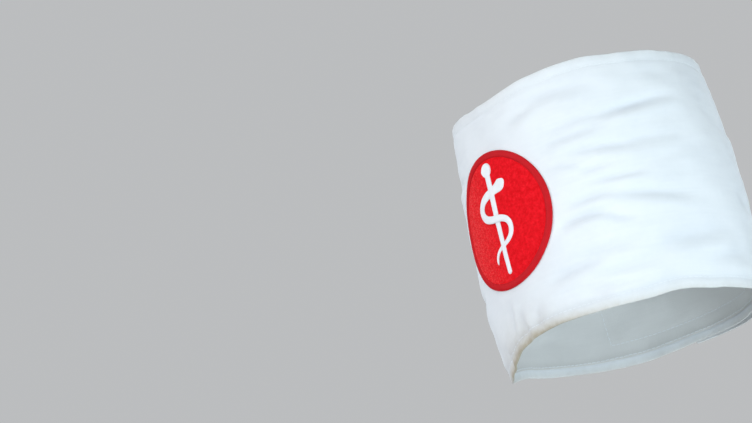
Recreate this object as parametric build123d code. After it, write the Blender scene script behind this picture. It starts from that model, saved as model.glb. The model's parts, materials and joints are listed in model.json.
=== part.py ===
"""Medic's armband: a white cotton band, in the shape that it has when it is worn.

The band is one strip of cloth, wrapped a little more than once round. It is closed on the side
away from the patch by a flap with a strip of hooks, which grips a strip of loops on the end
that lies underneath. A round red patch faces forwards.

Frame: +Z is the band's axis, and points up as the band is worn. The origin is in the middle of
the passage through it, at half height. The patch faces -Y and the closure is at +Y.

Angles round the band are counted in degrees from -Y towards +X. The strip starts underneath,
past 140 degrees, runs once round the front at 360 degrees, and ends with the flap's tip past
560 degrees.
"""
from build123d import *
import math
import os

# The band's inside: its radius where the wall is straight, the heights between which it is
# straight, and how much smaller the radius is at the band's upper and lower edge, where the
# cloth is drawn in to a barrel
sleeve_radius = 61.4
straight_low = -32.0
straight_high = 24.0
top_taper = 5.2
bottom_taper = 3.0

# Band
band_height = 120.0
outer_cloth = 0.6
lining_cloth = 0.5
hem_turn = 11.0
end_turn = 9.0
fold_bevel = 0.35
lining_set_back = 4.0

# Closure: lengths are along the cloth
closure_angle = 180.0
flap_length = 52.0
underlap_reach = 16.0
loop_length = 92.0
loop_height = 100.0
loop_thickness = 1.3
hook_length = 40.0
hook_height = 100.0
hook_thickness = 1.3
hook_root_margin = 4.0

# Patch
patch_diameter = 66.0
patch_thickness = 0.8

# Clearances: between pieces sewn on each other, and between the band and the moving flap
seat_gap = 0.05
body_gap = 0.3

# The wrap: where the strip leaves the inner circle, and where it has reached the outer one
leave_angle = 270.0
arrive_angle = leave_angle + 180.0

half_height = band_height / 2
strip_thickness = lining_cloth + seat_gap + 2 * outer_cloth
closure_thickness = loop_thickness + body_gap + hook_thickness + 2 * seat_gap
wrap_growth = strip_thickness + closure_thickness
flap_radius = sleeve_radius + wrap_growth + strip_thickness
underlap_radius = sleeve_radius + strip_thickness


def degrees_along(length, radius):
    """Angle of an arc of this length and radius."""
    return math.degrees(length / radius)


flap_degrees = degrees_along(flap_length, flap_radius)
hinge_angle = closure_angle + 360.0 - flap_degrees / 2
tip_angle = hinge_angle + flap_degrees
hinge_gap_degrees = degrees_along(body_gap, flap_radius)
flap_start = hinge_angle + hinge_gap_degrees / 2
band_end = hinge_angle - hinge_gap_degrees / 2
underlap_start = hinge_angle - 360.0 - degrees_along(underlap_reach, underlap_radius)


def sleeve_at(height):
    """Radius of the inside at a height: straight in the middle, and tapered towards each edge."""
    if height > straight_high:
        return sleeve_radius - top_taper * (height - straight_high) / (half_height - straight_high)
    if height < straight_low:
        return sleeve_radius - bottom_taper * (straight_low - height) / (half_height + straight_low)
    return sleeve_radius


def wall_point(offset, height):
    """Point of a section, this far out from the inside, in the plane of radius and height."""
    return (sleeve_at(height) + offset, 0, height)


def wall_points(offset, low, high):
    """Points of a line that follows the inside between two heights, this far out from it."""
    bends = [height for height in (straight_low, straight_high) if low < height < high]
    return [wall_point(offset, height) for height in (low, *bends, high)]


def layer_section(inside, thickness, low, high):
    """Section of a plain layer of cloth or tape between two heights."""
    inner_line = wall_points(inside, low, high)
    outer_line = wall_points(inside + thickness, low, high)
    return make_face(Polyline(*inner_line, *reversed(outer_line), close=True))


def hemmed_section(inside):
    """Section of the outer cloth: a shallow C, doubled where each long edge is turned in."""
    face_inside = inside + outer_cloth
    hem_low = hem_turn - half_height
    hem_high = half_height - hem_turn
    outline = [
        *wall_points(face_inside + outer_cloth, -half_height, half_height),
        *reversed(wall_points(inside, hem_high, half_height)),
        *reversed(wall_points(face_inside, hem_low, hem_high)),
        *reversed(wall_points(inside, -half_height, hem_low)),
    ]
    section = make_face(Polyline(*outline, close=True))
    folds = section.vertices().group_by(Axis.Z)
    return chamfer(folds[0] + folds[-1], fold_bevel)


def wrap(make_section, start, end):
    """Carry a section along the wrap, from one angle to another.

    The wrap is three tangent arcs: the inner circle, a half turn about a centre that is moved
    aside, and the outer circle, which is wider by the thickness of strip and closure. The
    function make_section takes the growth in radius and gives the section there.
    """
    aside = Vector(-math.sin(math.radians(leave_angle)), math.cos(math.radians(leave_angle)))
    stages = (
        # first angle, last angle, centre, growth in radius
        (-math.inf, leave_angle, Vector(0, 0), 0.0),
        (leave_angle, arrive_angle, aside * (wrap_growth / 2), wrap_growth / 2),
        (arrive_angle, math.inf, Vector(0, 0), wrap_growth),
    )
    pieces = []
    for first, last, centre, growth in stages:
        from_angle = max(first, start)
        to_angle = min(last, end)
        if to_angle <= from_angle:
            continue
        section = Rot(0, 0, from_angle - 90) * make_section(growth)
        pieces.append(Pos(centre.X, centre.Y, 0) * revolve(section, Axis.Z, to_angle - from_angle))
    return pieces[0] + pieces[1:]


def hemmed_strip(start, end, turned_start, turned_end):
    """Outer cloth between two angles, with its short edges turned in where asked."""
    inside = lining_cloth + seat_gap
    strip = wrap(lambda growth: hemmed_section(growth + inside), start, end)
    low = hem_turn - half_height
    high = half_height - hem_turn

    def turned(growth):
        return layer_section(growth + inside, outer_cloth, low, high)

    turn = degrees_along(end_turn, flap_radius)
    if turned_start:
        strip += wrap(turned, start, start + turn)
    if turned_end:
        strip += wrap(turned, end - turn, end)
    return strip


def lining(start, end):
    """Lining between two angles, set back from the band's long edges."""
    reach = half_height - lining_set_back
    return wrap(lambda growth: layer_section(growth, lining_cloth, -reach, reach), start, end)


def make_outer_panel():
    return hemmed_strip(underlap_start, band_end, True, False)


def make_lining_panel():
    set_back = degrees_along(lining_set_back, underlap_radius)
    return lining(underlap_start + set_back, band_end)


def make_flap_panel():
    return hemmed_strip(flap_start, tip_angle, False, True)


def make_flap_lining():
    set_back = degrees_along(lining_set_back, flap_radius)
    return lining(flap_start, tip_angle - set_back)


def make_loop_strip():
    """Strip of loops on the outside of the underlap, from the hinge line on."""
    start = hinge_angle - 360.0
    end = start + degrees_along(loop_length, underlap_radius)
    inside = strip_thickness + seat_gap
    half = loop_height / 2
    return wrap(lambda growth: layer_section(growth + inside, loop_thickness, -half, half), start, end)


def make_hook_strip():
    """Strip of hooks on the inside of the flap, a little way from the hinge line."""
    start = hinge_angle + degrees_along(hook_root_margin, flap_radius)
    end = start + degrees_along(hook_length, flap_radius)
    inside = -seat_gap - hook_thickness
    half = hook_height / 2
    return wrap(lambda growth: layer_section(growth + inside, hook_thickness, -half, half), start, end)


def make_motif_patch():
    """Round patch on the front, cut so that it is a true circle when the cloth is laid flat."""
    inside = strip_thickness + seat_gap
    radius = patch_diameter / 2
    front_radius = sleeve_radius + wrap_growth / 2 + strip_thickness
    half_width = front_radius * math.sin(radius / front_radius)
    sweep = degrees_along(radius, front_radius) + 5
    blank = wrap(
        lambda growth: layer_section(growth + inside, patch_thickness, -radius - 1, radius + 1),
        360 - sweep,
        360 + sweep,
    )
    cutter = Plane.XZ * Ellipse(half_width, radius)
    punch = extrude(cutter, amount=2 * front_radius)
    return blank & punch


def keep(shape, name):
    """Write one piece to its own file."""
    shape.label = name
    export_step(shape, f"parts/{name}.step")


os.makedirs("parts", exist_ok=True)
keep(make_outer_panel(), "outer_panel")
keep(make_lining_panel(), "lining_panel")
keep(make_motif_patch(), "motif_patch")
keep(make_loop_strip(), "loop_strip")
keep(make_flap_panel(), "flap_panel")
keep(make_flap_lining(), "flap_lining")
keep(make_hook_strip(), "hook_strip")

print(f"hinge angle {hinge_angle:.3f}, radius {flap_radius + body_gap / 2:.3f}")
print(f"strip angle {tip_angle - underlap_start:.2f}, growth {wrap_growth:.3f}")
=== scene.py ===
"""A medic's armband of white cotton, in the shape that it has when it is worn.

The band's sizes are in millimetres, and meshes are brought to metres as they are made. Camera, floor
and lamps are in metres. A place on the band is given by three numbers: its angle round it, in
degrees from -Y towards +X, its height along the band's axis, and its lift, which is how far it lies
out from the band's inside. The strip of cloth starts underneath the closure, runs once round past
the front at 360 degrees, and ends in the flap.
"""

import json

import bpy
import numpy as np
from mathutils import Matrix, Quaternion, Vector

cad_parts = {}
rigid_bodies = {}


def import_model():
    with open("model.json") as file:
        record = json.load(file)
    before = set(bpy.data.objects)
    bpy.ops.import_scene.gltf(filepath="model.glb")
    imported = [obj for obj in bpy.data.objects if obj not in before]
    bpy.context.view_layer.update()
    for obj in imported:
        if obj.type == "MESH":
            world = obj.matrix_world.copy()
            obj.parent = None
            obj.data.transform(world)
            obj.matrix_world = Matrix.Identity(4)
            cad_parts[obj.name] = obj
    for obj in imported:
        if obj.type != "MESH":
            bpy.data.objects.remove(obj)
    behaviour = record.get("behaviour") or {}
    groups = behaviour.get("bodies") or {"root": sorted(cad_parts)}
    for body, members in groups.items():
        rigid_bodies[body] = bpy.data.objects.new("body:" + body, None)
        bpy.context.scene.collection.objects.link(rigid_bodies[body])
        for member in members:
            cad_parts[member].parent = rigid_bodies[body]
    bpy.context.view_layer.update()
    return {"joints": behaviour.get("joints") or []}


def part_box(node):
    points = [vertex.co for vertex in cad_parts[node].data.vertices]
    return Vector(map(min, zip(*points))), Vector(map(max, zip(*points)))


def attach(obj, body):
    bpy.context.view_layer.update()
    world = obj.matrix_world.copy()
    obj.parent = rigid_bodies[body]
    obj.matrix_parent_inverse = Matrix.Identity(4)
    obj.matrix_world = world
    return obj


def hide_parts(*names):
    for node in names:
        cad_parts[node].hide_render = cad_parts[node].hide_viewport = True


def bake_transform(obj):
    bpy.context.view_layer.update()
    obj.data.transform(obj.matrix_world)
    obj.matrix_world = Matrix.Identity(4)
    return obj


for leftover in list(bpy.data.objects):
    bpy.data.objects.remove(leftover)
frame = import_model()

MM = 0.001

# Places that the frame gives
peel = frame["joints"][0]
hinge_point = np.array(peel["pos_m"]) / MM
hinge_angle = np.degrees(np.arctan2(hinge_point[0], -hinge_point[1])) + 360
hinge_radius = np.hypot(hinge_point[0], hinge_point[1])
half_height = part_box("outer_panel")[1].z / MM
patch_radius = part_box("motif_patch")[1].z / MM
loop_half_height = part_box("loop_strip")[1].z / MM
hook_half_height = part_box("hook_strip")[1].z / MM

# The strip's layers, as lifts from the band's inside, and how the strip is wrapped
strip_thickness = 1.75
seat_gap = 0.05
hinge_clearance = 0.15
wrap_growth = 4.75
leave_angle = 270.0
arrive_angle = 450.0
inner_radius = hinge_radius - hinge_clearance - strip_thickness - wrap_growth
mm_per_degree = np.radians(inner_radius + strip_thickness)

# The barrel shape that the soft band takes: how much smaller its radius is at its two edges than in
# the middle. The tapes of the closure stiffen the cloth for some way to both sides of their middle.
top_taper = 5.2
bottom_taper = 3.0
stiff_angle = 193.0
stiff_reach = 63.0
stiff_fade = 20.0
stiff_share = 0.85

# Lengths along the cloth
underlap_reach = 16.0
flap_length = 52.0
loop_length = 92.0
hook_length = 40.0
hook_root_margin = 4.0
lining_set_back = 4.0
seam_before_hinge = 8.0

flap_mm_per_degree = np.radians(hinge_radius - hinge_clearance)
cloth_per_degree = {"band": mm_per_degree, "flap": flap_mm_per_degree}
tip_angle = hinge_angle + flap_length / flap_mm_per_degree
seam_angle = hinge_angle - seam_before_hinge / flap_mm_per_degree
underlap_angle = hinge_angle - 360 - underlap_reach / mm_per_degree
loop_start = hinge_angle - 360
loop_end = loop_start + loop_length / mm_per_degree
hook_start = hinge_angle + hook_root_margin / flap_mm_per_degree
hook_end = hook_start + hook_length / flap_mm_per_degree

# Stitching: the rows along the hems, the boxes round both tapes, and how far beside a row and by what
# share of their distance the stitches draw the layers together
hem_stitch_inset = 5.0
box_inset = 1.6
draw_in_width = 1.3
draw_in_share = 0.28


def box_rows(start, end, half, body):
    """Four rows of stitches just inside a tape's edges: start angle and height, end angle and height."""
    first = start + box_inset / cloth_per_degree[body]
    last = end - box_inset / cloth_per_degree[body]
    top = half - box_inset
    corners = ((first, -top), (first, top), (last, top), (last, -top))
    return [corners[number] + corners[(number + 1) % 4] for number in range(4)]


closure_rows = box_rows(loop_start, loop_end, loop_half_height, "band")
flap_rows = box_rows(hook_start, hook_end, hook_half_height, "flap")

# The patch: where its middle is, how far beside its rim folds end, and how far beside it the pull at the
# band's edges is weakened
patch_front_radius = inner_radius + wrap_growth / 2 + strip_thickness
patch_per_degree = np.radians(patch_front_radius)
patch_angle = 360 - np.degrees(np.arcsin(wrap_growth / 2 / patch_front_radius))
patch_hold = 5.0
patch_brace = 25.0

# Unevenness of the worn cloth: how high its slow drape is, its crumpling on the patch and what is added
# to that beside it, its fine wrinkles as a share of the crumpling, and the pucker along its edges, which
# reaches some way in and is stretched across them. Then how deep the grooves along the two hem rows
# are, and how far the edges waver.
drape_rise = 0.55
crumple_on_patch = 0.06
crumple_beside = 0.10
wrinkle_share = 0.3
pucker_rise = 0.16
pucker_reach = 8.0
pucker_stretch = 5.0
lower_groove = 0.45
upper_groove = 0.22
groove_width = 1.5
edge_waver = 0.35

# Painted shade in the groove along each hem row: how grey the white is along the lower and the upper row,
# and how far beside them
lower_hem_grey = 0.7
upper_hem_grey = 0.1
hem_grey_width = 1.8

# Folds of the worn cloth: soft valleys on the front and the outer side, short creases over the lower
# hem, and a few shallow ones on the inner side
folds = (
    # angle and height of the middle, tilt in degrees, length, rise of the middle, depth, half width
    (71, 31.5, 9, 56, 0.8, 2.6, 2.6),
    (42, 24, 2, 46, 0.3, 1.5, 2.4),
    (45, 30, 2, 44, 0.3, 1.1, 2.4),
    (51, 15, -7, 44, 0.0, 1.7, 2.4),
    (71, 14.5, 2, 44, 0.0, 1.3, 3.0),
    (37, 11, -12, 20, 0.0, 1.3, 1.8),
    (48, 6, 0, 20, 0.0, 1.2, 1.9),
    (55, -1, -3, 40, 0.3, 2.1, 2.2),
    (44, -7, 3, 34, 0.3, 2.3, 2.4),
    (67, -11, -11, 56, -1.0, 2.1, 3.1),
    (38, -15.5, 1, 34, 0.3, 2.6, 2.3),
    (51, -19, -20, 24, 0.0, 1.3, 2.4),
    (43, -32.5, -3, 50, 0.0, 1.6, 3.0),
    (80, -35.5, 10, 62, 0.0, 1.5, 5.0),
    (30, -38, 2, 38, 0.3, 2.2, 2.6),
    (50, -43, -3, 48, 0.0, 1.8, 3.4),
    (42, -50, -2, 42, 0.0, 1.2, 2.0),
    (38, 47, -3, 54, 0.6, 1.2, 3.8),
    (21, 42.5, 12, 24, 0.3, 1.2, 2.6),
    (84, 47, 1, 34, 0.5, 0.3, 3.2),
    (98, -45, 8, 46, 0.3, 1.1, 3.6),
    (96, 8, -6, 34, 0.5, 0.4, 4.0),
    (-5, -52, 84, 22, 0.5, 1.4, 2.0),
    (-11, -45, 74, 22, 0.5, 1.4, 2.2),
    (5, -53, 66, 18, 0.5, 0.7, 2.0),
    (-26, -56, 84, 18, 0.0, 0.9, 2.0),
    (128, 22, 11, 30, 0.5, 0.8, 3.6),
    (123, -17, -12, 30, 0.5, 0.9, 3.6),
    (275, 26, -12, 48, 1.0, 1.9, 3.6),
    (283, -4, 5, 58, 1.0, 2.2, 3.6),
    (275, -37, -10, 42, 0.5, 1.6, 3.4),
    (323, 31, -14, 30, 0.5, 1.4, 3.0),
    (318, -27, 14, 34, 0.5, 1.4, 3.0),
)
deepest_fold = max(fold[5] for fold in folds)
swellings = (
    # angle, height, half width in degrees, half width in height, rise
    (-43, -45, 26, 26, 2.0),
    (137, 45, 26, 26, 1.3),
    (137, -45, 26, 26, -1.5),
    (93, 32, 12, 22, 1.8),
    (117, 30, 13, 24, -1.4),
)
edge_shifts = (
    # which edge, angle, half width in degrees, how far up it is pulled
    ("upper", -37, 22, -0.8),
    ("upper", -2, 22, -3.8),
    ("upper", 56, 12, 0.9),
    ("upper", 95, 10, -0.7),
    ("upper", 120, 26, -1.0),
    ("lower", -37, 22, -7.8),
    ("lower", 10, 26, 2.0),
    ("lower", 69, 11, 2.0),
    ("lower", 110, 24, -1.0),
)


def smooth(share):
    """Rises from 0 to 1 with share, level at both ends: 3 share^2 - 2 share^3."""
    share = np.clip(share, 0, 1)
    return share * share * (3 - 2 * share)


def bell(distance, width):
    """1 at no distance, and exp(-(distance / width)^2) beside that."""
    return np.exp(-((distance / width) ** 2))


def degrees_from(middle, angle):
    """Degrees round the band from a middle to an angle, between -180 and 180."""
    return (angle - middle + 180) % 360 - 180


def row_distance(angle, height, row):
    """Distance of a place from a row of stitches, in millimetres."""
    run = np.array([(row[2] - row[0]) * mm_per_degree, row[3] - row[1]])
    beside = (angle - row[0]) * mm_per_degree
    above = height - row[1]
    share = np.clip((beside * run[0] + above * run[1]) / (run @ run), 0, 1)
    return np.hypot(beside - share * run[0], above - share * run[1])


def fold_relief(angle, height):
    """Depth of the folds, and the painted shade in their creases, as how grey they are from 0 to 1.

    Each fold is a valley with a softer ridge below it, which fade at both ends.

    Along a fold, s runs from -1 to 1, its line bows by rise (1 - s^2), and the fade is (1 - s^2)^2.
    Across it the valley is -exp(-(d/w)^2) and the ridge 0.5 exp(-((d + 2w)/1.2w)^2), with d the
    distance above its line and w its half width. The patch is stiff, so that folds end at its rim.
    """
    free = smooth(from_patch(angle, height) / patch_hold)
    total, grey = 0, 0
    for at_angle, at_height, tilt, length, rise, depth, width in folds:
        beside = degrees_from(at_angle, angle) * mm_per_degree
        above = height - at_height
        lean = np.radians(tilt)
        share = (beside * np.cos(lean) + above * np.sin(lean)) / (length / 2)
        fade = np.clip(1 - share**2, 0, 1)
        distance = above * np.cos(lean) - beside * np.sin(lean) - rise * fade
        valley = -bell(distance, width)
        ridge = 0.5 * bell(distance + 2 * width, 1.2 * width)
        total = total + depth * fade**2 * (valley + ridge)
        # painted shade: each crease is greyed as deep as its valley is
        grey = np.maximum(grey, depth * fade**2 * -valley / deepest_fold)
    return total * free, grey * free


def ripples(angle, height, seed, count, shortest, longest, lean_spread=np.pi / 2):
    """Sum of sine waves in random directions and lengths, of spread 1, which closes round the band.

    Their crests run round the band, or lean from that by up to lean_spread to both sides.
    """
    random = np.random.default_rng(seed)
    girth = 360 * mm_per_degree
    total = 0
    for _ in range(count):
        wave = random.uniform(shortest, longest)
        lean = np.pi / 2 + random.uniform(-lean_spread, lean_spread)
        turns = np.round(girth * np.cos(lean) / wave)
        climb = 2 * np.pi * np.sin(lean) / wave
        total = total + np.sin(np.radians(angle) * turns + height * climb + random.uniform(0, 2 * np.pi))
    return total / np.sqrt(count / 2)


def on_hem_row(height, width):
    """1 on the two stitched rows along the hems, falling off as a bell curve of this half width."""
    return bell(np.abs(height) - half_height + hem_stitch_inset, width)


def from_patch(angle, height):
    """Distance of a place from the patch's rim, in millimetres, negative inside it."""
    return np.hypot(degrees_from(patch_angle, angle) * patch_per_degree, height) - patch_radius


def relief(angle, height):
    """How far the worn cloth stands off its plain barrel, the same for every layer at one place.

    Sums of waves give the drape, the crumpling and the fine wrinkles, bell curves the swellings. The
    pucker falls off as exp(-(d/r)^2) with the distance d from the edge and its reach r. Where tapes
    stiffen the band, drape, folds and swellings are weaker.
    """
    from_front = degrees_from(0, angle)
    drape = drape_rise * ripples(angle, height, seed=3, count=9, shortest=70, longest=160)
    crumpled = crumple_on_patch + crumple_beside * smooth(from_patch(angle, height) / patch_hold)
    crumple = crumpled * ripples(angle, height, seed=8, count=22, shortest=14, longest=34)
    fine = ripples(angle, height, seed=41, count=18, shortest=5.5, longest=10, lean_spread=0.35)
    wrinkles = wrinkle_share * crumpled * fine
    edge = half_height - np.abs(height)
    gathers = ripples(angle, height / pucker_stretch, seed=21, count=12, shortest=7, longest=13)
    pucker = pucker_rise * bell(edge, pucker_reach) * gathers
    groove = np.where(height < 0, lower_groove, upper_groove) * on_hem_row(height, groove_width)
    swell = 0
    for at_angle, at_height, angle_width, height_width, rise in swellings:
        beside = bell(from_front - at_angle, angle_width)
        swell = swell + rise * beside * bell(height - at_height, height_width)
    soft = 1 - stiff_share * stiffness(angle)
    return soft * (drape + fold_relief(angle, height)[0] + swell) + crumple + wrinkles + pucker - groove


def stiffness(angle):
    """1 where the tapes of the closure stiffen the band, falling smoothly to 0 beside them."""
    return smooth((stiff_reach - np.abs(angle % 360 - stiff_angle)) / stiff_fade)


def edge_shift(angle, height):
    """How far the cloth is pulled up.

    Each pull is a bell curve along its edge, and fades across the band with the square of the way
    from the other edge. All fade towards the patch, which keeps its shape.
    """
    from_front = degrees_from(0, angle)
    total = 0
    for edge, at_angle, width, pull in edge_shifts:
        share = 0.5 + height / half_height * (0.5 if edge == "upper" else -0.5)
        total = total + pull * share**2 * bell(from_front - at_angle, width)
    return total * smooth(from_patch(angle, height) / patch_brace)


def draw_in(angle, height):
    """How hard stitches pull the layers together: 1 on a row, falling off as a bell curve beside it."""
    pulled = on_hem_row(height, draw_in_width)
    for row in closure_rows + flap_rows:
        pulled = np.maximum(pulled, bell(row_distance(angle, height, row), draw_in_width))
    return pulled


def inside_at(height):
    """Radius of the band's inside: a parabola through those at its upper edge, middle and lower edge."""
    share = height / half_height
    lean = (bottom_taper - top_taper) / 2
    bow = -(bottom_taper + top_taper) / 2
    return inner_radius + lean * share + bow * share**2


def on_band(angle, height, lift):
    """Point at an angle, height and lift.

    The wrap is three tangent arcs: the inner circle, a half turn about a centre moved aside by half
    the growth, and the outer circle. The radius is the inside's, and the growth, the lift and the
    relief are added. Stitches pull the layers towards the middle of the strip's thickness. The edges
    waver, which fades with the sixth power of the share of the band's half height.
    """
    angle, height, lift = np.broadcast_arrays(angle, height, lift)
    middle = (angle >= leave_angle) & (angle < arrive_angle)
    growth = np.where(middle, wrap_growth / 2, np.where(angle < leave_angle, 0, wrap_growth))
    aside = np.where(middle, wrap_growth / 2, 0)
    half_strip = strip_thickness / 2
    lift = half_strip + (lift - half_strip) * (1 - draw_in_share * draw_in(angle, height))
    radius = inside_at(height) + growth + lift + relief(angle, height)
    edge_share = (height / half_height) ** 6
    waver = edge_waver * edge_share * ripples(angle, 0, seed=5, count=7, shortest=40, longest=90)
    turn = np.radians(angle)
    up = height + waver + edge_shift(angle, height)
    return np.stack([aside + radius * np.sin(turn), -radius * np.cos(turn), up], -1)


def outward(angle, height, lift):
    """Direction straight out of the band at a place."""
    way = on_band(angle, height, lift + 1.0) - on_band(angle, height, lift)
    return way / np.linalg.norm(way, axis=-1, keepdims=True)


def make_piece(name, points, quads, finish, body, patterns=None, marks=None):
    """Mesh of quads from arrays of points in millimetres, with its map, marks, finish and body.

    patterns holds the map's two numbers for each point, and marks holds named numbers.
    """
    used, quads = np.unique(quads, return_inverse=True)
    quads = quads.reshape(-1, 4)
    mesh = bpy.data.meshes.new(name)
    mesh.from_pydata(points[used] * MM, [], quads.tolist())
    mesh.polygons.foreach_set("use_smooth", np.ones(len(quads), bool))
    if patterns is not None:
        layer = mesh.uv_layers.new(name="cloth")
        layer.data.foreach_set("uv", (patterns[used][quads.ravel()] * MM).astype(np.float32).ravel())
    for mark, values in (marks or {}).items():
        attribute = mesh.attributes.new(mark, "FLOAT", "POINT")
        attribute.data.foreach_set("value", values[used].astype(np.float32))
    mesh.materials.append(finish)
    mesh.update()
    piece = bpy.data.objects.new(name, mesh)
    bpy.context.scene.collection.objects.link(piece)
    if body:
        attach(piece, body)
    return piece


def shell(centre, thickness, kept):
    """Points and quads of a sheet with thickness, from its middle surface on a grid.

    Each point is carried half the thickness to both sides along the grid's normal, the cross
    product of the two directions of the grid. The two skins cover the kept cells, and quads close
    the rim wherever a kept cell has no kept neighbour.
    """
    rows, columns = centre.shape[:2]
    normal = np.cross(np.gradient(centre, axis=1), np.gradient(centre, axis=0))
    normal /= np.linalg.norm(normal, axis=-1, keepdims=True)
    outer = (centre + normal * thickness / 2).reshape(-1, 3)
    inner = (centre - normal * thickness / 2).reshape(-1, 3)
    number = np.arange(rows * columns).reshape(rows, columns)
    below = rows * columns
    near, right, far, left = number[:-1, :-1], number[:-1, 1:], number[1:, 1:], number[1:, :-1]
    fenced = np.pad(kept, 1)
    faces = [
        np.stack([near, right, far, left], -1)[kept],
        np.stack([near, left, far, right], -1)[kept] + below,
    ]
    sides = (
        # where the neighbour is missing, and the edge's two ends, against the way of the face
        (fenced[:-2, 1:-1], right, near),
        (fenced[2:, 1:-1], left, far),
        (fenced[1:-1, :-2], near, left),
        (fenced[1:-1, 2:], far, right),
    )
    for neighbour, first, second in sides:
        bare = kept & ~neighbour
        first, second = first[bare], second[bare]
        faces.append(np.stack([first, second, second + below, first + below], -1))
    return np.concatenate([outer, inner]), np.concatenate(faces)


def swept(points, closed=False):
    """Quads round rings of points, for many strands at once: an array of strands, rings, points.

    Each strand's rings are joined one to the next. A closed strand's last ring joins its first, and
    an open strand gets a cap of quads at each end.
    """
    count, rings, corners = points.shape[:3]
    number = np.arange(count * rings * corners).reshape(count, rings, corners)
    following = np.roll(number, -1, axis=1)
    turned = np.roll(number, -1, axis=2)
    both = np.roll(following, -1, axis=2)
    sides = np.stack([number, turned, both, following], -1)
    if closed:
        return points.reshape(-1, 3), sides.reshape(-1, 4)
    faces = [sides[:, :-1].reshape(-1, 4)]
    for corner in range(1, corners - 1, 2):
        faces.append(number[:, 0][:, [0, corner + 2, corner + 1, corner]])
        faces.append(number[:, -1][:, [0, corner, corner + 1, corner + 2]])
    return points.reshape(-1, 3), np.concatenate(faces)


def strands(lines, up, radius, corners=6):
    """Rings of points round many thread lines at once.

    Each ring is line + radius (cos a side + sin a above), where side is square to the thread and to
    up, and above is square to the thread and to side.
    """
    along = np.gradient(lines, axis=1)
    side = np.cross(along, up)
    side /= np.linalg.norm(side, axis=-1, keepdims=True)
    above = np.cross(side, along)
    above /= np.linalg.norm(above, axis=-1, keepdims=True)
    turn = np.linspace(0, 2 * np.pi, corners, endpoint=False)
    radius = np.broadcast_to(radius, lines.shape[:2])[..., None, None]
    spokes = side[..., None, :] * np.cos(turn)[:, None] + above[..., None, :] * np.sin(turn)[:, None]
    return lines[..., None, :] + radius * spokes


class Value:
    """A number, colour or shader that a node gives. Arithmetic on a number adds Math nodes."""

    def __init__(self, nodes, socket):
        self.nodes = nodes
        self.socket = socket

    def maths(self, operation, *operands):
        return self.nodes.node("Math", {"operation": operation}, dict(enumerate(operands)))

    def __add__(self, other):
        return self.maths("ADD", self, other)

    def __sub__(self, other):
        return self.maths("SUBTRACT", self, other)

    def __rsub__(self, other):
        return self.maths("SUBTRACT", other, self)

    def __mul__(self, other):
        return self.maths("MULTIPLY", self, other)

    def __gt__(self, other):
        return self.maths("GREATER_THAN", self, other)

    def __abs__(self):
        return self.maths("ABSOLUTE", self)

    def sine(self):
        return self.maths("SINE", self)

    def least(self, other):
        return self.maths("MINIMUM", self, other)

    def most(self, other):
        return self.maths("MAXIMUM", self, other)

    def held(self):
        """The number, kept from 0 to 1."""
        return self.most(0.0).least(1.0)

    __radd__ = __add__
    __rmul__ = __mul__


class Nodes:
    """The nodes of a material or of the world. Any node is added by node()."""

    def __init__(self, tree):
        self.tree = tree

    def give(self, socket, value):
        """Links a value to a socket, or sets the socket to a number or colour."""
        if isinstance(value, Value):
            self.tree.links.new(value.socket, socket)
        elif isinstance(value, tuple) and len(value) == 3 and socket.type == "RGBA":
            socket.default_value = (*value, 1)
        else:
            socket.default_value = value

    def node(self, kind, settings, inputs, output=0):
        """Adds a node: its settings first, then the values or links of its sockets."""
        made = self.tree.nodes.new("ShaderNode" + kind)
        for setting, value in settings.items():
            setattr(made, setting, value)
        for socket, value in inputs.items():
            self.give(made.inputs[socket], value)
        return Value(self, made.outputs[output])

    def mix(self, factor, first, second):
        """Colour between two colours: a Mix node takes them at 6 and 7, and gives it at 2."""
        return self.node("Mix", {"data_type": "RGBA"}, {0: factor, 6: first, 7: second}, 2)

    def seen_directly(self):
        """1 for what the camera sees, also mirrored or through glass, and 0 for what lights the band."""
        rays = ("Is Camera Ray", "Is Glossy Ray", "Is Transmission Ray")
        looked_at, mirrored, seen_through = (self.node("LightPath", {}, {}, ray) for ray in rays)
        return looked_at.most(mirrored).most(seen_through)


class Finish(Nodes):
    """A material in the making, whose shader's own numbers are set at once."""

    def __init__(self, name, **shader):
        self.material = bpy.data.materials.new(name)
        self.material.use_nodes = True
        super().__init__(self.material.node_tree)
        self.shader = self.tree.nodes["Principled BSDF"]
        for socket, value in shader.items():
            self.shader.inputs[socket.replace("_", " ")].default_value = value

    def map_numbers(self):
        """The cloth map, and its two numbers in millimetres: along the strip and across it."""
        cloth_map = self.node("UVMap", {"uv_map": "cloth"}, {})
        parts = [self.node("SeparateXYZ", {}, {"Vector": cloth_map}, axis) for axis in "XY"]
        return cloth_map, parts[0] * 1000, parts[1] * 1000

    def noise(self, where, size, detail=2.0, stretch=None):
        """Noise from 0 to 1 whose blots are about size millimetres across."""
        if stretch:
            where = self.node("Mapping", {}, {"Vector": where, "Scale": stretch})
        return self.node("TexNoise", {}, {"Vector": where, "Scale": 1000 / size, "Detail": detail})

    def mark(self, name):
        """A number kept in the mesh."""
        return self.node("Attribute", {"attribute_name": name}, {}, "Fac")

    def finished(self, colour, height, depth, roughness=None):
        """Links colour, bump of a depth in millimetres, and roughness, and gives the material."""
        bump = self.node("Bump", {}, {"Strength": 1.0, "Distance": depth * MM, "Height": height})
        self.give(self.shader.inputs["Base Color"], colour)
        self.give(self.shader.inputs["Normal"], bump)
        if roughness is not None:
            self.give(self.shader.inputs["Roughness"], roughness)
        return self.material


def plain_weave(along, across, pitch):
    """Height of a plain weave: each thread is a rounded ridge, on top at every other crossing."""
    warp = (across * (np.pi / pitch)).sine()
    weft = (along * (np.pi / pitch)).sine()
    on_top = (warp * weft) > 0
    return on_top * abs(warp) + (1 - on_top) * abs(weft)


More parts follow.
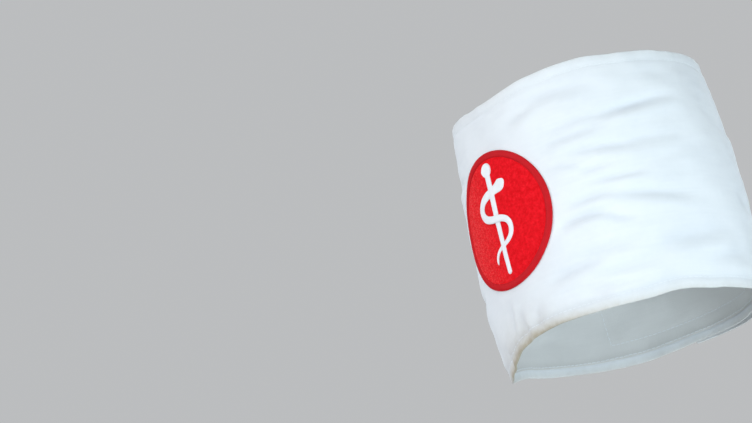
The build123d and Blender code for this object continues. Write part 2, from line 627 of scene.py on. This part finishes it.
def cotton(name, clean, grey, soiled, pitch):
    """Woven cotton: plain weave with slubs, uneven whiteness, and soil and painted crease shade where the
    mesh marks them.
    """
    finish = Finish(name, Specular_IOR_Level=0.3, Sheen_Weight=0.15)
    where, along, across = finish.map_numbers()
    slub_along = finish.noise(where, 1.0, stretch=(0.06, 1.6, 1))
    slub_across = finish.noise(where, 1.0, stretch=(1.6, 0.06, 1))
    slubs = slub_along + slub_across
    blots = finish.noise(where, 26, 3.0)
    specks = finish.noise(where, 3.0, 4.0)
    streaks = finish.noise(where, 2.2, 3.0, stretch=(0.12, 1.4, 1))
    clouds = ((blots - 0.38) * 2.2).held()
    worn = clouds * 0.4 + (specks - 0.5) * 0.3 + (streaks - 0.5) * 0.35
    # Painted shade: the white goes greyer in the folds and along the hem grooves, as the mesh marks them.
    worn = worn.most(0.0) + finish.mark("crease_shade") * 0.75
    colour = finish.mix(worn.least(1.0), clean, grey)
    soil = finish.mark("soil") * (0.35 + specks * 0.9 + blots * 0.5)
    colour = finish.mix(soil.least(1.0), colour, soiled)
    weave = plain_weave(along, across, pitch)
    height = weave * 0.5 + slubs * 0.55 + specks * 0.3
    return finish.finished(colour, height, 0.16, 0.78 + blots * 0.14)


def red_drill():
    """Red cotton of the patch: a diagonal twill, mottled, and rubbed paler, most on its one side."""
    finish = Finish("red_drill", Specular_IOR_Level=0.07)
    where, along, across = finish.map_numbers()
    twill = ((along + across) * (np.pi / 0.55)).sine()
    mottle = finish.noise(where, 2.4, 4.0)
    fibres = finish.noise(where, 1.2, 3.0)
    shade = ((mottle - 0.32) * 2.0 + (fibres - 0.5) * 0.9).held()
    colour = finish.mix(shade, (0.74, 0.003, 0.008), (0.95, 0.009, 0.021))
    rubbed = ((finish.noise(where, 0.8, 4.0) - 0.40) * 3.2).held()
    rubbed = rubbed * (abs(twill) * 0.6 + 0.4)
    worn_side = (along * -0.04 + 0.15).held() * 0.75 + 0.08
    colour = finish.mix(rubbed * worn_side * mottle * 2.0, colour, (0.88, 0.13, 0.12))
    return finish.finished(colour, abs(twill) * 0.5 + fibres * 0.5, 0.14, 0.80 + mottle * 0.12)


def fibrous(name, dark, light, roughness, grain, shade, depth, spread, **shader):
    """Thread or tape: a fine grain, which also spreads its roughness, and slow changes of shade.

    grain and shade are the sizes of their blots, and depth is how deep the grain is.
    """
    finish = Finish(name, **shader)
    where = finish.node("TexCoord", {}, {}, "Object")
    fuzz = finish.noise(where, grain, 2.0)
    colour = finish.mix(finish.noise(where, shade, 3.0), dark, light)
    return finish.finished(colour, fuzz, depth, roughness + fuzz * spread)


def matted(name, dark, light):
    """Ground of the loop tape: fine matted fibres, with painted shade darkening the hollows between them.
    """
    finish = Finish(name, Roughness=0.85, Specular_IOR_Level=0.3)
    where = finish.node("TexCoord", {}, {}, "Object")
    fibres = finish.noise(where, 0.5, 4.0)
    clumps = finish.noise(where, 1.6, 3.0)
    pile = ((fibres - 0.32) * 2.2 + (clumps - 0.5) * 1.2).held()
    return finish.finished(finish.mix(pile, dark, light), pile, 0.35)


white_cotton = cotton("white_cotton", (0.87, 0.915, 0.945), (0.75, 0.80, 0.85), (0.47, 0.42, 0.32), 0.5)
lining_cotton = cotton("lining_cotton", (0.74, 0.75, 0.74), (0.64, 0.65, 0.64), (0.42, 0.38, 0.31), 0.4)
red_cotton = red_drill()

spun = dict(grain=0.5, shade=5.0, depth=0.05, spread=0.15, Specular_IOR_Level=0.45)
dull = spun | dict(Specular_IOR_Level=0.16)
sewing_thread = fibrous("sewing_thread", (0.76, 0.80, 0.83), (0.87, 0.91, 0.93), 0.55, **spun)
white_floss = fibrous("white_floss", (0.78, 0.82, 0.85), (0.90, 0.93, 0.95), 0.42, **spun)
red_floss = fibrous("red_floss", (0.46, 0.003, 0.008), (0.62, 0.006, 0.013), 0.5, **dull)

nylon = dict(grain=0.6, shade=9.0, depth=0.08, spread=0.12, Specular_IOR_Level=0.5, Sheen_Weight=0.05)
# Painted shade: the ground is darker than the loops, as if in their shade, most in its hollows.
loop_ground = matted("loop_ground", (0.56, 0.56, 0.54), (0.84, 0.84, 0.82))
loop_nylon = fibrous("loop_nylon", (0.86, 0.86, 0.84), (0.93, 0.93, 0.91), 0.7, **nylon)
hook_ground = fibrous("hook_ground", (0.56, 0.56, 0.53), (0.66, 0.66, 0.62), 0.5, **nylon)
hook_nylon = fibrous("hook_nylon", (0.74, 0.74, 0.70), (0.86, 0.86, 0.82), 0.38, **nylon)


def crease_shade_at(angle, height):
    """Painted shade: how much greyer the white is in the folds and in the groove along each hem, more in
    the lower one.
    """
    along_hem = np.where(height < 0, lower_hem_grey, upper_hem_grey) * on_hem_row(height, hem_grey_width)
    return np.maximum(fold_relief(angle, height)[1], along_hem)


def soil_at(angle, height):
    """Where the band is soiled: along its folded edges, most at the front of the lower one.

    With d the distance from the lower edge, it is 0.32 exp(-d/3) all round, and a bell curve of 34
    degrees about the front adds 0.75 exp(-d/2.4). A smear 13 mm high lies over it, and the upper
    edge has 0.16 exp(-d/2.2).
    """
    from_front = degrees_from(0, angle)
    from_bottom = half_height + height
    from_top = half_height - height
    front = bell(from_front + 2, 34)
    lower = 0.32 * np.exp(-from_bottom / 3.0) + 0.75 * front * np.exp(-from_bottom / 2.4)
    smear = 0.30 * bell(from_front + 14, 22) * bell(from_bottom, 13)
    return np.clip(lower + smear + 0.16 * np.exp(-from_top / 2.2), 0, 1)


def rounded_steps(start, end, step):
    """Even steps from start to just short of end, about as long as step."""
    count = max(1, round(abs(end - start) / step))
    return np.linspace(start, end, count, endpoint=False)


# Layers of cloth: half height of the finished layer, width turned in, lift of its face and of the
# turned part, thickness, and how far apart its points are near the edges and elsewhere
outer_layer = dict(edge=half_height, turn=11.0, face=1.45, turned=0.85, thick=0.48, fine=0.95, step=1.25)
lining_layer = dict(
    edge=half_height - lining_set_back, turn=5.0, face=0.17, turned=0.46, thick=0.28, fine=1.3, step=1.9
)

# How far from an edge the points are near, how long a turned short end is, the places round a fold, and
# the points along a turned part
fine_reach = 14.0
end_turn = 9.0
fold_turns = np.radians([90, 54, 18, -18, -54, -90])
turned_points = 5

# A short end that is sewn into a seam rolls in: how far its columns are from the seam, and where the
# cloth before them is flat, and by what share of its thickness it drops at the seam
seam_roll = np.array([1.6, 1.1, 0.7, 0.35, 0.03])
seam_flat = 2.2
seam_drop = 0.8

# How far inside a hem its clipped corner reaches, how many degrees beside a seam aren't clipped, and what
# counts as no distance at all
clip_margin = 0.8
seam_hold = 3.0
hair = 1e-6


def hemmed_rows(layer):
    """Rows across a cloth whose long edges are turned in: height, lift, and distance along the cloth.

    From raw edge to raw edge: turned part, half circle round the fold, face, half circle, turned part.
    """
    fold = (layer["face"] - layer["turned"]) / 2
    middle = (layer["face"] + layer["turned"]) / 2
    bend = layer["edge"] - layer["thick"] / 2 - abs(fold)
    raw = layer["edge"] - layer["turn"]
    near_edge = bend - fine_reach
    face = np.concatenate(
        [rounded_steps(0, near_edge, layer["step"]), rounded_steps(near_edge, bend, layer["fine"])]
    )
    turned = np.linspace(bend, raw, turned_points)[1:]
    height = np.concatenate([face, bend + abs(fold) * np.cos(fold_turns), turned])
    face_lift = np.full(len(face), layer["face"])
    turned_lift = np.full(len(turned), layer["turned"])
    lift = np.concatenate([face_lift, middle + fold * np.sin(fold_turns), turned_lift])
    height = np.concatenate([-height[:0:-1], height])
    lift = np.concatenate([lift[:0:-1], lift])
    across = np.concatenate([[0], np.cumsum(np.hypot(np.diff(height), np.diff(lift)))])
    return height, lift, across


def end_columns(layer, place, inward, turned, per_degree):
    """Columns of one short end of a cloth: where it starts, their angles, and the share dropped inside.

    They run from the middle outwards. A turned end has a half circle round its fold and runs back.
    An end in a seam rolls in a little, as the square of the way to the seam.
    """
    if not turned:
        drop = seam_drop * (1 - seam_roll / seam_roll[0]) ** 2
        return place + inward * seam_flat / per_degree, place + inward * seam_roll / per_degree, drop
    fold = abs(layer["face"] - layer["turned"]) / 2
    bend = place + inward * (layer["thick"] / 2 + fold) / per_degree
    angle = bend - inward * fold * np.cos(fold_turns) / per_degree
    drop = (1 - np.sin(fold_turns)) / 2
    back = np.linspace(bend, bend + inward * end_turn / per_degree, turned_points)[1:]
    return bend, np.concatenate([angle, back]), np.concatenate([drop, np.ones(len(back))])


def hemmed_cloth(name, layer, start, end, finish, body):
    """A hemmed strip between two angles, as one sheet with real turned edges.

    It is sewn into the seam between band and flap, and its other short end is turned in. The sheet
    is a grid of rows across and columns along. The long hems stop at the turned end's fold, as a
    tailor clips a corner to save bulk.
    """
    per_degree = cloth_per_degree[body]
    is_band = body == "band"
    height, lift, across = hemmed_rows(layer)
    start_bend, start_angles, start_drop = end_columns(layer, start, 1, is_band, per_degree)
    end_bend, end_angles, end_drop = end_columns(layer, end, -1, not is_band, per_degree)
    seam = end if is_band else start
    middle = rounded_steps(start_bend, end_bend, layer["step"] / per_degree)[1:]
    if is_band:
        middle = np.append(middle, end_bend)
    angle = np.concatenate([start_angles[::-1], middle, end_angles])
    drop = np.concatenate([start_drop[::-1], np.zeros(len(middle)), end_drop])
    along = np.concatenate([[0], np.cumsum(np.abs(np.diff(angle)) * per_degree)])
    lifts = lift[:, None] - drop * (lift - layer["turned"])[:, None]
    centre = on_band(angle, height[:, None], lifts)
    turned_row = np.abs(lift - layer["turned"]) < hair
    in_hem = (turned_row[:-1] & turned_row[1:])[:, None]
    hem_start = layer["edge"] - layer["turn"] - clip_margin
    near_hem = (np.abs(height[:-1] + height[1:]) / 2 > hem_start)[:, None]
    folding = (drop > hair) & (drop < 1)
    column_folds = folding[:-1] | folding[1:]
    far_from_seam = np.abs((angle[:-1] + angle[1:]) / 2 - seam) > seam_hold
    turned_back = (drop[:-1] == 1) & (drop[1:] == 1)
    kept = ~(in_hem & column_folds & far_from_seam) & ~((near_hem | in_hem) & turned_back)
    points, quads = shell(centre, layer["thick"], kept)
    patterns = np.stack(np.broadcast_arrays(along, across[:, None]), -1).reshape(-1, 2)
    # The soil is stains; the other mark is painted shade in the folds and hem grooves.
    rules = {"soil": soil_at, "crease_shade": crease_shade_at}
    marks = {mark: np.tile(rule(angle, height[:, None]).ravel(), 2) for mark, rule in rules.items()}
    piece = make_piece(name, points, quads, finish, None, np.tile(patterns, (2, 1)), marks)
    return piece


def bend_at_hinge(piece):
    """Bakes a piece's placement into its mesh; nothing is bent at the hinge."""
    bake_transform(piece)


def make_cloths():
    """The outer cotton and the lining, each as the long band and the flap that is sewn to it."""
    outer = hemmed_cloth("outer_cloth", outer_layer, underlap_angle, seam_angle, white_cotton, "band")
    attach(outer, "band")
    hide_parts("outer_panel")
    set_back = lining_set_back / mm_per_degree
    start = underlap_angle + set_back
    lining = hemmed_cloth("lining_cloth", lining_layer, start, seam_angle, lining_cotton, "band")
    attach(lining, "band")
    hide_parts("lining_panel")
    flap = hemmed_cloth("flap_cloth", outer_layer, seam_angle, tip_angle, white_cotton, "flap")
    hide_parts("flap_panel")
    bend_at_hinge(flap)
    end = tip_angle - set_back
    flap_lining = hemmed_cloth("flap_lining_cloth", lining_layer, seam_angle, end, lining_cotton, "flap")
    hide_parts("flap_lining")
    bend_at_hinge(flap_lining)


# The thread and its stitches: how far an arch rises and its ends dive, the least and greatest share of a
# stitch's length, how far it strays, and how it lies on the face, on the lining and on a tape
thread_radius = 0.17
stitch_pitch = 2.5
stitch_length = 2.05
stitch_rise = 0.26
stitch_dive = 0.52
stitch_shares = (0.93, 1.05)
stitch_stray = 0.05
thread_on_face = strip_thickness - 0.06
thread_on_lining = 0.03
thread_on_tape = seat_gap + 0.62

# Where rows end or lie, in degrees from the underlap's end, the seam and the flap's tip, and in
# millimetres before the seam, and how far the rows across the band reach up and down
underlap_margin = 1.6
seam_margin = 0.6
tip_margin = 2.4
tip_row_inset = 2.6
seam_row_inset = 2.2
cross_row_reach = 54.0


def stitch_row(row, lift, side, seed):
    """Lines and upward directions of one row of lockstitches between two places.

    Each stitch is an arch that dives into the cloth at its ends, as rise - dive |s|^3 with s from -1
    to 1. side is 1 on the outside of the strip and -1 on its inside.
    """
    random = np.random.default_rng(seed)
    start, end = np.array(row[:2], float), np.array(row[2:], float)
    run = end - start
    length = np.hypot(run[0] * mm_per_degree, run[1])
    count = max(2, round(length / stitch_pitch))
    centre = (np.arange(count) + 0.5) / count
    bow = np.linspace(-1, 1, 7)
    reach = stitch_length / 2 / length * random.uniform(*stitch_shares, count)
    share = centre[:, None] + reach[:, None] * bow
    aside = random.normal(0, stitch_stray, count)[:, None]
    aside = aside + random.normal(0, stitch_stray, count)[:, None] * bow
    sideways = np.array([-run[1] / mm_per_degree, run[0] * mm_per_degree]) / length
    angle = start[0] + share * run[0] + aside * sideways[0]
    height = start[1] + share * run[1] + aside * sideways[1]
    rise = stitch_rise - stitch_dive * np.abs(bow) ** 3
    return on_band(angle, height, lift + side * rise), side * outward(angle, height, lift)


def sew(name, rows, body):
    """One piece of thread work from rows of (place, lift, side)."""
    lines, ups = [], []
    for number, (row, lift, side) in enumerate(rows):
        line, up = stitch_row(row, lift, side, number + 1)
        lines.append(line)
        ups.append(up)
    rings = strands(np.concatenate(lines), np.concatenate(ups), thread_radius)
    points, quads = swept(rings)
    return make_piece(name, points, quads, sewing_thread, body)


def make_stitching():
    """Hem rows outside and inside, the boxes round both tapes, and the rows beside the seam and the tip."""
    hem = half_height - hem_stitch_inset
    seam_row = seam_angle - seam_row_inset / mm_per_degree
    tip_row = tip_angle - tip_row_inset
    band_start, band_end = underlap_angle + underlap_margin, seam_angle - seam_margin
    flap_start, flap_end = seam_angle + seam_margin, tip_angle - tip_margin
    both_sides = ((thread_on_face, 1), (thread_on_lining, -1))
    band_rows, flap_work = [], []
    for height in (-hem, hem):
        for lift, side in both_sides:
            band_rows.append(((band_start, height, band_end, height), lift, side))
            flap_work.append(((flap_start, height, flap_end, height), lift, side))
    for lift, side in both_sides:
        band_rows.append(((seam_row, -cross_row_reach, seam_row, cross_row_reach), lift, side))
        flap_work.append(((tip_row, -cross_row_reach, tip_row, cross_row_reach), lift, side))
    band_rows += [(row, thread_on_lining, -1) for row in closure_rows]
    flap_work += [(row, thread_on_face, 1) for row in flap_rows]
    sew("band_stitches", band_rows, "band")
    bend_at_hinge(sew("flap_stitches", flap_work, None))
    sew("loop_tape_stitches", [(row, strip_thickness + thread_on_tape, 1) for row in closure_rows], "band")
    sew("hook_tape_stitches", [(row, -thread_on_tape, -1) for row in flap_rows], "flap")


# The woven base of both tapes: its thickness, how far over the cloth its middle lies, how far apart its
# points are, and how its edges roll in
tape_thickness = 0.55
tape_middle = 0.28
tape_step = 1.4
tape_roll = 0.12
tape_roll_reach = 0.6


def tape(name, start, end, half, lift, finish, body):
    """Woven base of a hook or loop tape between two angles.

    Its edges roll in by exp(-d/r), with d the distance from the edge and r the reach of the roll.
    """
    per_degree = cloth_per_degree[body]
    angle = np.linspace(start, end, round((end - start) * per_degree / tape_step))
    height = np.linspace(-half, half, round(2 * half / tape_step))
    near_end = np.minimum(angle - start, end - angle) * per_degree
    near_edge = np.minimum(half - np.abs(height)[:, None], near_end)
    rolled = lift - np.sign(lift) * tape_roll * np.exp(-near_edge / tape_roll_reach)
    centre = on_band(angle, height[:, None], rolled)
    points, quads = shell(centre, tape_thickness, np.ones((len(height) - 1, len(angle) - 1), bool))
    return make_piece(name, points, quads, finish, body)


# The pile of the loop tape: how far apart its curls stand, how far each strays from its place, and how
# far they keep from the tape's edge. Then the least and greatest width, height, drift and number of
# turns of a curl, the radius of its fibre, and how it starts over the tape
curl_spacing = 2.08
curl_stray = 0.75
curl_margin = 3.0
curl_width = (0.50, 0.95)
curl_height = (0.30, 0.60)
curl_drift = (0.9, 2.3)
curl_turns = (1.5, 2.1)
curl_fibre = 0.085
curl_low = 0.12
pile_ground = strip_thickness + seat_gap + 0.5


def make_loop_pile(name, first_share, seed):
    """Brushed loops: fine nylon curls, each about two turns that lie over and rise out of the tape.

    They stand on a grid, each moved a little by chance. A curl runs round a circle whose middle
    drifts, and its height over the tape is low + tall (1 - cos turn) / 2, so that each turn stands
    up on one side.
    """
    random = np.random.default_rng(seed)
    first = curl_margin + first_share * curl_spacing
    columns = np.arange(first, loop_length - curl_margin, curl_spacing)
    rows = np.arange(first, 2 * loop_half_height - curl_margin, curl_spacing)
    column, row = (grid.ravel() for grid in np.meshgrid(columns, rows))
    count = len(column)
    angle = loop_start + (column + random.uniform(-curl_stray, curl_stray, count)) / mm_per_degree
    height = row - loop_half_height + random.uniform(-curl_stray, curl_stray, count)
    heading = random.uniform(0, 2 * np.pi, count)[:, None]
    wide = random.uniform(*curl_width, count)[:, None]
    tall = random.uniform(*curl_height, count)[:, None]
    drift = random.uniform(*curl_drift, count)[:, None]
    share = np.linspace(-0.5, 0.5, 13)
    turn = share * random.uniform(*curl_turns, count)[:, None] * 2 * np.pi
    across = drift * share + wide * np.cos(turn)
    aside = wide * np.sin(turn)
    rise = curl_low + tall * (1 - np.cos(turn + heading * 2)) / 2
    angles = angle[:, None] + (across * np.cos(heading) - aside * np.sin(heading)) / mm_per_degree
    heights = height[:, None] + across * np.sin(heading) + aside * np.cos(heading)
    lines = on_band(angles, heights, pile_ground + rise)
    ups = np.broadcast_to(outward(angle, height, strip_thickness)[:, None], lines.shape)
    points, quads = swept(strands(lines, ups, curl_fibre, 4))
    pile = make_piece(name, points, quads, loop_nylon, "band")


# The hooks: where the first one stands and how near the last may come to the tape's far edge, how far
# apart they are along the band and across it, and a hook's line, as its reach along the band and its
# depth under the tape
first_hook = 3.2
last_hook_margin = 3.0
hook_spacing = 1.45
hook_row_spacing = 1.5
hook_fibre = 0.09
hook_reach = np.array([0.0, 0.0, 0.06, 0.28, 0.46, 0.44])
hook_depth = np.array([0.35, 0.75, 1.02, 1.13, 0.98, 0.80])


def make_hooks():
    """Rows of hooks: each a short stem that bends over at its end, all rows facing by turns."""
    places = np.arange(first_hook, hook_length - last_hook_margin, hook_spacing)
    columns = hook_start + places / flap_mm_per_degree
    rows = np.arange(first_hook - hook_half_height, hook_half_height - last_hook_margin, hook_row_spacing)
    angle, height = (grid.ravel() for grid in np.meshgrid(columns, rows))
    facing = np.where(np.arange(len(angle)) // len(columns) % 2, 1.0, -1.0)
    angles = angle[:, None] + facing[:, None] * hook_reach / flap_mm_per_degree
    heights = np.broadcast_to(height[:, None], angles.shape)
    lines = on_band(angles, heights, -seat_gap - hook_depth)
    ups = np.broadcast_to(np.array([0.0, 0.0, 1.0]), lines.shape)
    points, quads = swept(strands(lines, ups, hook_fibre, 4))
    hooks = make_piece("hook_rows", points, quads, hook_nylon, "flap")


def make_closure():
    """The two tapes that hold the band shut, with their loops and hooks."""
    lift = strip_thickness + seat_gap + tape_middle
    loops = tape("loop_tape", loop_start, loop_end, loop_half_height, lift, loop_ground, "band")
    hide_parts("loop_strip")
    lift = -seat_gap - tape_middle
    hooks = tape("hook_tape", hook_start, hook_end, hook_half_height, lift, hook_ground, "flap")
    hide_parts("hook_strip")
    make_loop_pile("loop_pile", 0.0, 12)
    make_loop_pile("loop_pile_between", 0.5, 13)
    make_hooks()


# The patch's cloth: its thickness, how high its middle and its upper side lie, and how far apart its
# points are
patch_thickness = 0.5
patch_lift = strip_thickness + seat_gap + patch_thickness / 2
patch_top = patch_lift + patch_thickness / 2
patch_step = 0.9

# Its embroidery: the rim's width and underside, where staff, knob and serpent start and how far they
# reach, and how high each part rises. Then the width of one thread of it.
rim_width = 3.4
rim_base = strip_thickness + 0.1
rim_rise = 1.05
staff_top = 25.5
staff_length = 52.0
staff_rise = 0.42
knob_height = 25.0
knob_reach = 3.5
knob_rise = 0.62
serpent_top = 18.5
serpent_length = 38.0
serpent_turns = 1.43
serpent_rise = 0.46
satin_pitch = 0.42


def on_patch(across, up, lift):
    """Point of the patch, from its place to the right of and above the patch's middle."""
    return on_band(patch_angle + across / patch_per_degree, up, lift)


def satin(name, across, up, width, base, rise, finish, slant=0.0, closed=False):
    """Band of satin stitch along a line on the patch.

    Its section is a flat underside and a rounded arch over it, across the line: rise |sin a|^0.7 round
    its upper half. Along the line, the arch swells over each thread by 0.1 |sin(pi s / pitch)|.
    """
    if closed:
        way = np.stack([np.roll(across, -1) - np.roll(across, 1), np.roll(up, -1) - np.roll(up, 1)], -1)
    else:
        way = np.stack([np.gradient(across), np.gradient(up)], -1)
    length = np.hypot(np.diff(across, append=across[:1]), np.diff(up, append=up[:1]))
    way /= np.linalg.norm(way, axis=-1, keepdims=True)
    along = np.concatenate([[0], np.cumsum(length[:-1])])
    ring = np.radians([0, 18, 40, 62, 90, 118, 140, 162, 180, 225, 270, 315])
    out = np.cos(ring)[None, :] * np.asarray(width)[..., None] / 2
    over = np.sin(ring)[None, :]
    thread_swell = 0.1 * np.abs(np.sin(np.pi * (along[:, None] + slant * out) / satin_pitch))
    over_cloth = rise * np.abs(over) ** 0.7 + thread_swell * (over > 0.1)
    arch = np.where(over > 0, over_cloth, 0.12 * over)
    sideways = np.stack([way[:, 1], -way[:, 0]], -1)
    at_across = across[:, None] + out * sideways[:, :1]
    at_up = up[:, None] + out * sideways[:, 1:]
    rings = on_patch(at_across, at_up, np.asarray(base)[..., None] + arch)
    points, quads = swept(rings[None], closed)
    return make_piece(name, points, quads, finish, "band")


def make_patch():
    """Round red patch: a disc of cloth cut from a grid, and its satin-stitched rim over the cut edge."""
    middle = patch_radius - rim_width / 2
    line = np.arange(-middle - 1, middle + 1.01, patch_step)
    across, up = np.meshgrid(line, line)
    inside = np.hypot(across, up) < middle
    kept = inside[:-1, :-1] & inside[1:, :-1] & inside[:-1, 1:] & inside[1:, 1:]
    points, quads = shell(on_patch(across, up, patch_lift), patch_thickness, kept)
    patterns = np.tile(np.stack([across, up], -1).reshape(-1, 2), (2, 1))
    cloth = make_piece("patch_cloth", points, quads, red_cotton, "band", patterns)
    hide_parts("motif_patch")

    turn = np.linspace(0, 2 * np.pi, 1900, endpoint=False)
    across, up = middle * np.cos(turn), middle * np.sin(turn)
    rim = satin("patch_rim", across, up, rim_width, rim_base, rim_rise, red_floss, closed=True)


def make_emblem():
    """White staff with a round knob, and a serpent that winds round it from its head at the top.

    With s the share of a line's length, the staff narrows as 3.9 - 1.2 s and is rounded off at both
    ends, and the knob is a circle. The serpent sways by (11.6 - 5.4 s) sin t and falls by 38 s -
    (1.5 - 0.5 s) sin 2t, where t is its turn. It narrows as 4.5 (1 - 0.7 s^1.5), a bell curve widens
    its head, half an ellipse rounds its snout, and it passes over and under the staff as cos t.
    """
    share = np.linspace(0, 1, 560)
    rounded = np.sqrt(np.clip((1 - np.abs(2 * share - 1)) * 28, 0.002, 1))
    width = (3.9 - 1.2 * share) * rounded
    down = staff_top - staff_length * share
    satin("patch_staff", 0 * share, down, width, patch_top, staff_rise, white_floss, slant=0.25)

    knob = np.sin(np.linspace(-np.pi / 2, np.pi / 2, 120))
    width = 2 * knob_reach * np.sqrt(np.clip(1 - knob**2, 0.0005, 1))
    level = np.full(len(knob), knob_height)
    satin("patch_knob", knob_reach * knob, level, width, patch_top, knob_rise, white_floss)

    share = np.linspace(0, 1, 1300)
    turn = 2 * np.pi * serpent_turns * share + 2.1
    sway = (11.6 - 5.4 * share) * np.sin(turn)
    fall = serpent_length * share - (1.5 - 0.5 * share) * np.sin(2 * turn)
    head = 1 + 0.38 * bell(share - 0.045, 0.030)
    snout = np.sqrt(np.clip(1 - (1 - np.minimum(share / 0.045, 1)) ** 2, 0.002, 1))
    tail = np.sqrt(np.clip((1 - share) / 0.03, 0.002, 1))
    width = 4.5 * (1 - 0.70 * share**1.5) * head * snout * tail
    base = patch_top + 0.18 + 0.34 * np.cos(turn)
    satin("patch_serpent", sway, serpent_top - fall, width, base, serpent_rise, white_floss, slant=0.35)


# The camera: where it stands, how it is held, and where the band's middle falls in the picture
camera_azimuth = 47.0
camera_elevation = -14.7
camera_roll = 15.8
camera_distance = 2.0
picture_width, picture_height = 752, 423
band_in_picture = (603.4, 216.0)
pixels_at_one_metre = 4201.0
sensor_width = 36.0

# The floor: its half width, and its height, which is just under the camera
floor_reach = 30.0
floor_height = camera_distance * np.sin(np.radians(camera_elevation)) - 0.03


def direction(azimuth, elevation):
    """Unit vector from the band towards a place round it: azimuth 0 is -Y, and 90 is +X."""
    a, e = np.radians(azimuth), np.radians(elevation)
    return Vector((np.sin(a) * np.cos(e), -np.cos(a) * np.cos(e), np.sin(e)))


def make_floor():
    """Pale floor, which is seen, and mirrored, paler than the one that throws light back on the band.

    Far from the lamps it glows as pale as the surrounding, so that the horizon doesn't show. Seen
    from beneath it is clear, so that it doesn't hide the band.
    """
    floor = bpy.data.objects.new("floor", bpy.data.meshes.new("floor"))
    ways = ((-1, -1), (1, -1), (1, 1), (-1, 1))
    corners = [(x * floor_reach, y * floor_reach, floor_height) for x, y in ways]
    floor.data.from_pydata(corners, [], [(0, 1, 2, 3)])
    bpy.context.scene.collection.objects.link(floor)
    ground = Finish("pale_floor", Roughness=0.9, Emission_Strength=1.0)
    seen = ground.seen_directly()
    tone = ground.mix(seen, (0.54, 0.545, 0.55), (0.88, 0.885, 0.89))
    ground.give(ground.shader.inputs["Base Color"], tone)
    glow = ground.mix(seen, (0.0, 0.0, 0.0), (0.14, 0.12, 0.11))
    ground.give(ground.shader.inputs["Emission Color"], glow)
    beneath = ground.node("NewGeometry", {}, {}, "Backfacing")
    clear = ground.node("BsdfTransparent", {}, {})
    top = Value(ground, ground.shader.outputs[0])
    both = ground.node("MixShader", {}, {0: beneath, 1: top, 2: clear})
    ground.give(ground.tree.nodes["Material Output"].inputs["Surface"], both)
    floor.data.materials.append(ground.material)


def make_light():
    """Pale surrounding, and soft lamps that leave white cloth just short of white."""
    world = bpy.data.worlds.new("studio")
    bpy.context.scene.world = world
    world.use_nodes = True
    studio = Nodes(world.node_tree)
    studio.tree.nodes.remove(studio.tree.nodes["Background"])
    light = studio.node("Background", {}, {"Color": (0.85, 0.93, 0.98), "Strength": 0.45})
    seen = studio.node("Background", {}, {"Color": (0.50, 0.51, 0.52), "Strength": 1.0})
    both = studio.node("MixShader", {}, {0: studio.seen_directly(), 1: light, 2: seen})
    studio.give(studio.tree.nodes["World Output"].inputs["Surface"], both)

    lamps = (
        # name, azimuth, elevation, distance, size, power, colour
        ("front", 45, 10, 1.3, 0.45, 3.15, (1.0, 0.97, 0.92)),
        ("left", -15, 8, 1.5, 0.6, 8.2, (0.98, 0.93, 0.97)),
        ("right", 88, -30, 0.9, 0.4, 6.1, (0.77, 0.89, 0.96)),
        ("overhead", 0, 52, 1.6, 0.7, 5.1, (0.76, 0.91, 0.98)),
        ("rear", 215, 18, 2.2, 1.0, 20.0, (1.0, 0.985, 0.96)),
    )
    for name, azimuth, elevation, distance, width, power, colour in lamps:
        lamp = bpy.data.lights.new(name, "AREA")
        lamp.shape = "DISK"
        lamp.size = width
        lamp.energy = power
        lamp.color = colour
        placed = bpy.data.objects.new(name, lamp)
        way = direction(azimuth, elevation)
        placed.location = way * distance
        placed.visible_camera = False
        placed.rotation_mode = "QUATERNION"
        placed.rotation_quaternion = way.to_track_quat("Z", "Y")
        bpy.context.scene.collection.objects.link(placed)


def make_camera():
    """Camera with a long lens, turned so that the band's middle falls at its place in the picture."""
    camera = bpy.data.objects.new("camera", bpy.data.cameras.new("camera"))
    bpy.context.scene.collection.objects.link(camera)
    camera.data.sensor_width = sensor_width
    camera.data.lens = pixels_at_one_metre / picture_width * sensor_width
    back = direction(camera_azimuth, camera_elevation)
    camera.location = back * camera_distance
    aimed = back.to_track_quat("Z", "Y")
    rolled = Quaternion((0, 0, 1), -np.radians(camera_roll))
    right = (band_in_picture[0] - picture_width / 2) / pixels_at_one_metre
    down = (band_in_picture[1] - picture_height / 2) / pixels_at_one_metre
    turned = Vector((right, -down, -1)).rotation_difference(Vector((0, 0, -1)))
    camera.rotation_mode = "QUATERNION"
    camera.rotation_quaternion = aimed @ rolled @ turned
    camera.data.clip_end = 100
    bpy.context.scene.camera = camera


make_cloths()
make_stitching()
make_closure()
make_patch()
make_emblem()
make_floor()
make_light()
make_camera()
bpy.context.scene.view_settings.view_transform = "Standard"
